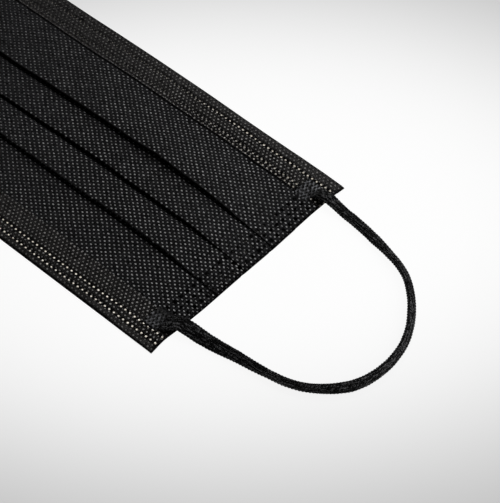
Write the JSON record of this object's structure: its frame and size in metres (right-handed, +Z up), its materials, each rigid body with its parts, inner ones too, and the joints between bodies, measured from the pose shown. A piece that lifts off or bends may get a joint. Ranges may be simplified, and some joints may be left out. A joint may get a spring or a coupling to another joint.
{
  "type": "surgical mask",
  "caption": "Flat-folded pleated surgical mask in black nonwoven cloth, with bonded hems, welded ends and knitted elastic ear loops lying on the table.",
  "frame": {"origin": "on the table, under the middle of the pleated body with its hems (the ear loops are not counted)", "axes": "+X along the mask's length towards the end with the right ear loop, +Y from the chin edge to the nose edge, +Z up, out of the outer face"},
  "size_m": [0.2986, 0.095, 0.0053],
  "materials": {
    "outer_cloth": "matte black spunbond nonwoven with a staggered pattern of shiny bond dots",
    "hem_cloth": "black inner ply folded over the edge, finer bond dots, rows of bright ultrasonic weld dots",
    "loop_weld": "knurled ultrasonic weld, slightly glossy pressed fibre",
    "ear_elastic": "matte black knitted elastic with fine lengthwise ribs"
  },
  "bodies": {
    "root": {"pleated_body": "outer_cloth", "nose_hem": "hem_cloth", "chin_hem": "hem_cloth", "loop_weld_nose_right": "loop_weld", "loop_weld_chin_right": "loop_weld", "loop_weld_nose_left": "loop_weld", "loop_weld_chin_left": "loop_weld", "ear_loop_right": "ear_elastic", "ear_loop_left": "ear_elastic"}
  },
  "joints": []
}
